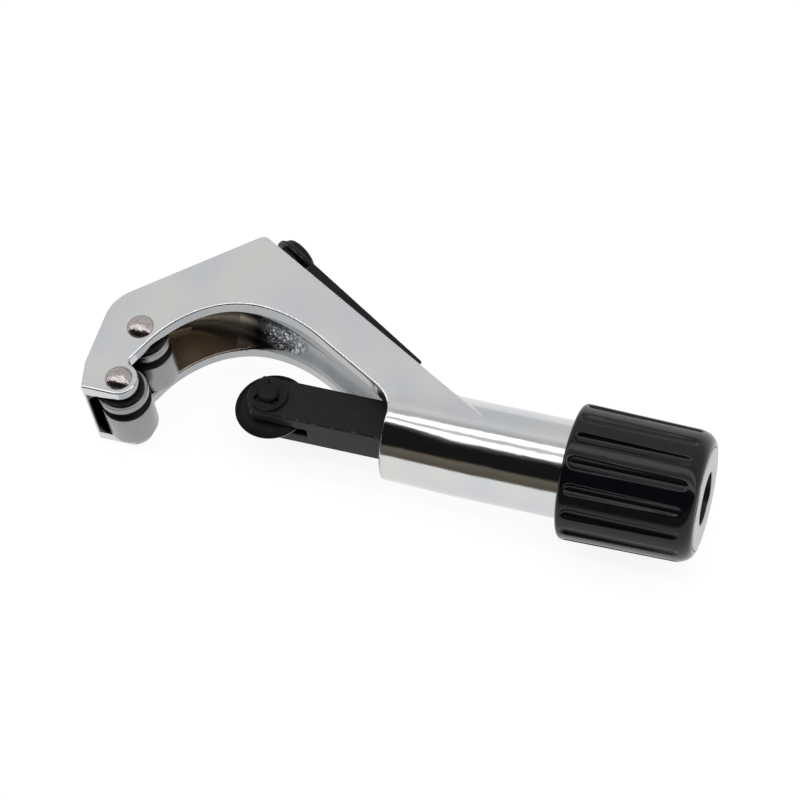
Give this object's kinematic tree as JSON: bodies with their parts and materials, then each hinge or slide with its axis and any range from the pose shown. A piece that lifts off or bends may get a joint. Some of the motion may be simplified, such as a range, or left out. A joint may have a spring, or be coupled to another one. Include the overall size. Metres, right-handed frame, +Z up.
{
  "type": "pipe cutter",
  "caption": "Screw-feed tube cutter: open C-shaped jaw with guide rollers, forked slide with cutting wheel, fluted knob and fold-away reamer.",
  "frame": {"origin": "middle of the underside of the tool's box, with the feed axis level", "axes": "+X along the feed screw towards the knob, +Y from the feed axis towards the back of the jaw's arch, +Z up along the roller pins"},
  "size_m": [0.1446, 0.0601, 0.031],
  "materials": {
    "chrome_casting": "chrome plate over a die casting, satin on the flat faces and bright on the barrel",
    "roller_steel": "ground steel with a fine turned finish",
    "pin_steel": "polished domed steel",
    "black_oxide": "black oxide on steel, slightly worn on edges",
    "tool_steel": "blackened hardened steel with a bright cutting edge",
    "black_plastic": "glossy black moulded plastic",
    "zinc": "pale satin zinc",
    "screw_steel": "machined steel, lightly oiled",
    "brass": "turned brass"
  },
  "bodies": {
    "frame": {"frame": "chrome_casting", "roller_pin_inner": "pin_steel", "roller_pin_outer": "pin_steel", "roller_washer_inner": "black_oxide", "roller_washer_outer": "black_oxide", "feed_nut": "brass", "reamer_screw": "black_oxide", "reamer_washer": "black_oxide", "reamer_spring_washer": "black_oxide"},
    "roller_inner": {"roller_inner": "roller_steel"},
    "roller_outer": {"roller_outer": "roller_steel"},
    "slide": {"slide_bar": "black_oxide", "wheel_pin": "black_oxide", "wheel_clip": "black_oxide", "swivel_pin_upper": "screw_steel", "swivel_pin_lower": "screw_steel", "thrust_ball": "pin_steel"},
    "wheel": {"cutter_wheel": "tool_steel"},
    "knob": {"feed_screw": "screw_steel", "knob_grip": "black_plastic", "knob_hub": "zinc", "knob_washer": "black_oxide", "knob_screw": "black_oxide"},
    "reamer": {"reamer_blade": "black_oxide"}
  },
  "joints": [
    {"name": "feed", "type": "slide", "parent": "frame", "child": "slide", "axis": [1, 0, 0], "range_m": [-0.019, 0.0088]},
    {"name": "knob_turn", "type": "hinge", "parent": "slide", "child": "knob", "pos_m": [0.05652, -0.01455, 0.0155], "axis": [1, 0, 0], "range_deg": [-3421, 1585]},
    {"name": "wheel_spin", "type": "hinge", "parent": "slide", "child": "wheel", "pos_m": [-0.02977, -0.01455, 0.0155], "axis": [0, 0, 1], "continuous": true},
    {"name": "roller_inner_spin", "type": "hinge", "parent": "frame", "child": "roller_inner", "pos_m": [-0.06292, -0.00731, 0.0155], "axis": [0, 0, 1], "continuous": true},
    {"name": "roller_outer_spin", "type": "hinge", "parent": "frame", "child": "roller_outer", "pos_m": [-0.06292, -0.02179, 0.0155], "axis": [0, 0, 1], "continuous": true},
    {"name": "reamer_swing", "type": "hinge", "parent": "frame", "child": "reamer", "pos_m": [-0.03961, 0.02228, 0.0155], "axis": [0.4879, 0.8729, 0], "range_deg": [-180, 180]}
  ],
  "couplings": [
    {"joint": "knob_turn", "follows": "feed", "rad_per_m": 3141.6}
  ]
}
